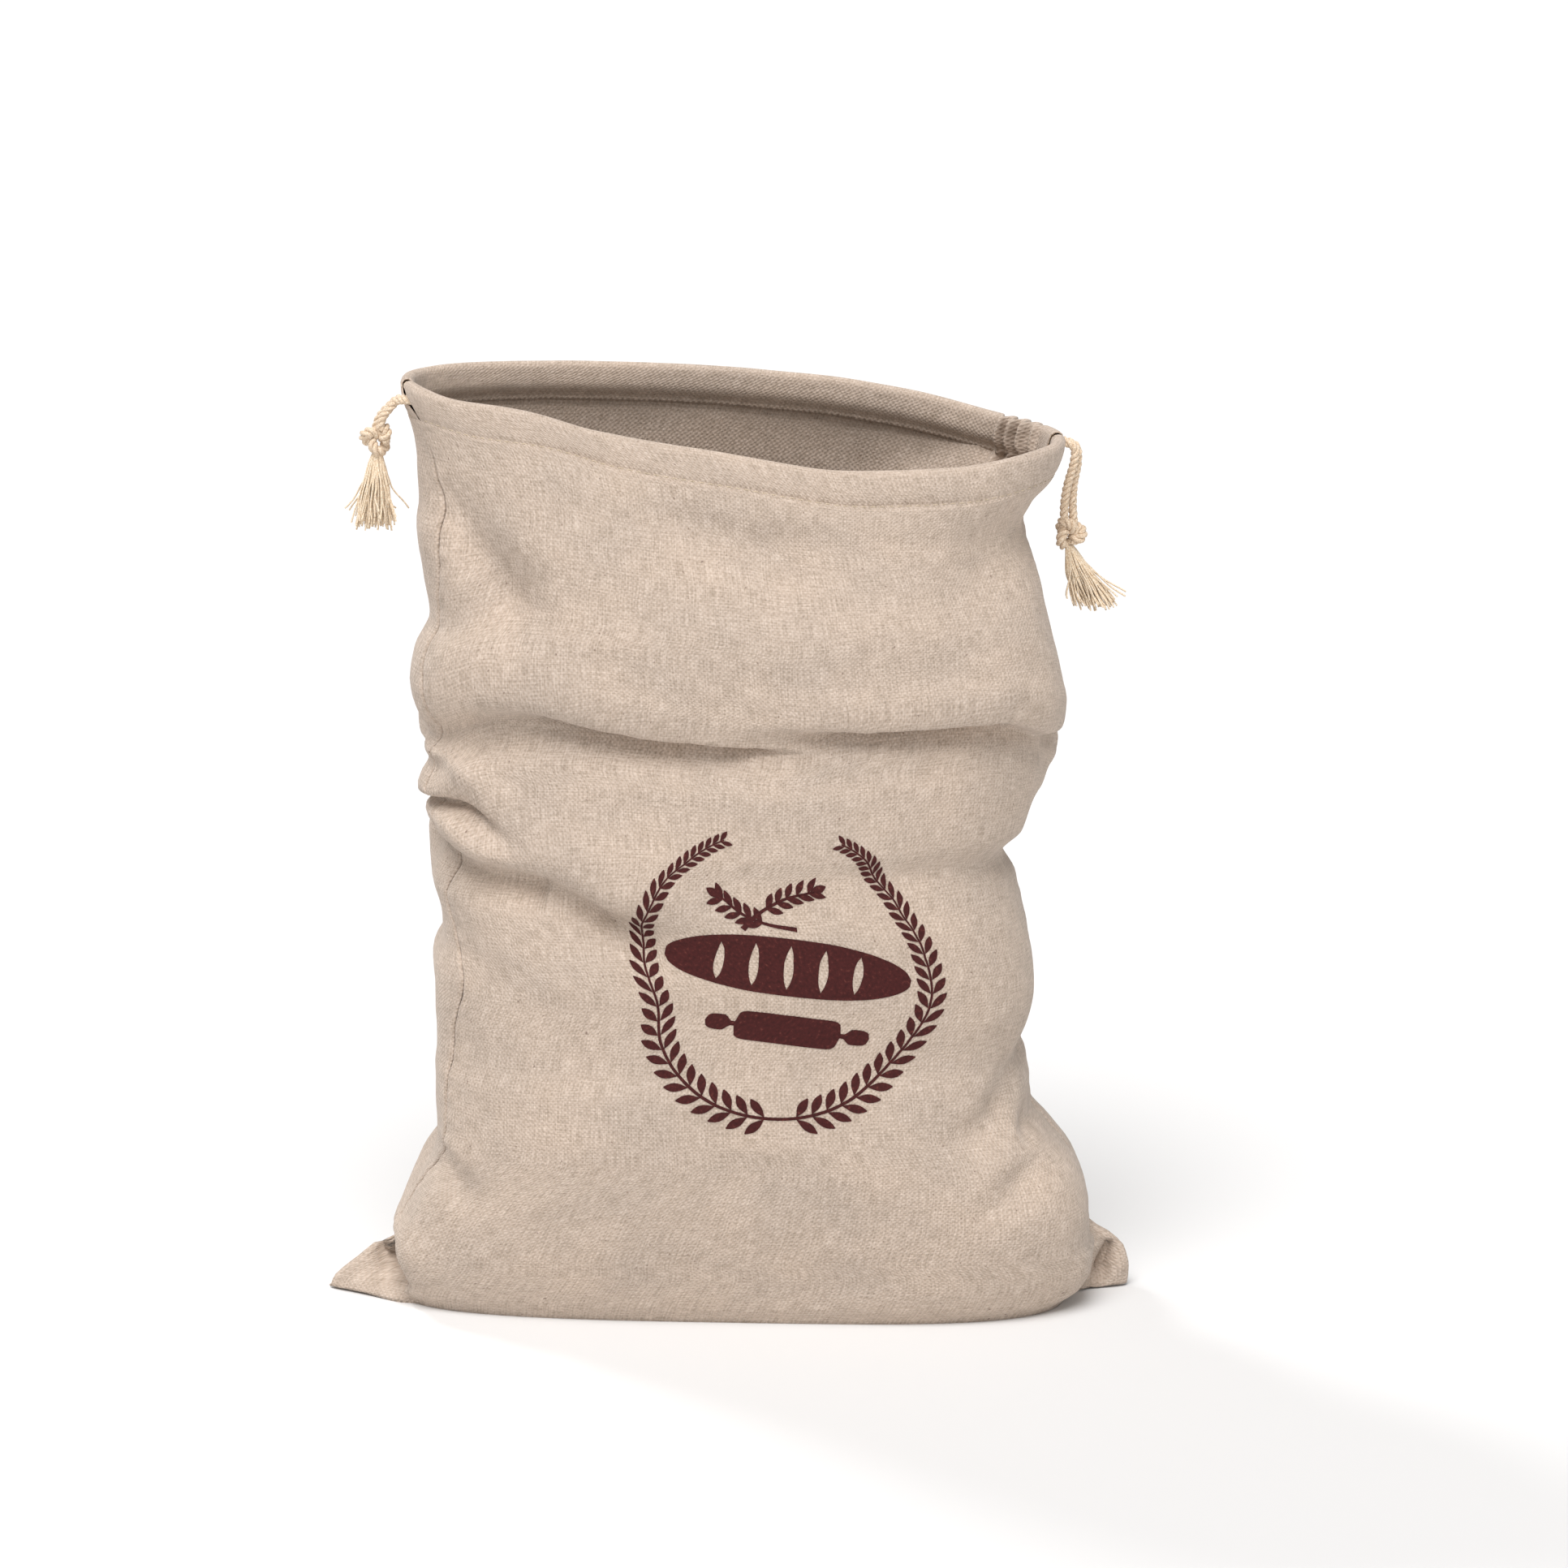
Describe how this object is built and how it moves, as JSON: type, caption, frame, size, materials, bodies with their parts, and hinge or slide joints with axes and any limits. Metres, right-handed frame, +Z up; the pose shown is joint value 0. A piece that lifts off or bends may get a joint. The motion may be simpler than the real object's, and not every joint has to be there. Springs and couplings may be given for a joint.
{
  "type": "linen bread bag",
  "caption": "Open linen drawstring bag that stands rounded out, with a turned-in casing at the mouth and a knotted, tasselled cord at each side.",
  "frame": {"origin": "centre of the bag's box, on the surface it stands on", "axes": "+Z up, the printed front towards -Y, +X to the right seen from the front"},
  "size_m": [0.3044, 0.131, 0.352],
  "materials": {
    "linen": "matte natural linen, plain weave with slubs",
    "cotton": "matte twisted cotton"
  },
  "bodies": {
    "root": {"front_panel": "linen", "back_panel": "linen", "drawcord_left": "cotton", "drawcord_right": "cotton", "knot_left": "cotton", "knot_right": "cotton", "tassel_left": "cotton", "tassel_right": "cotton"}
  },
  "joints": []
}
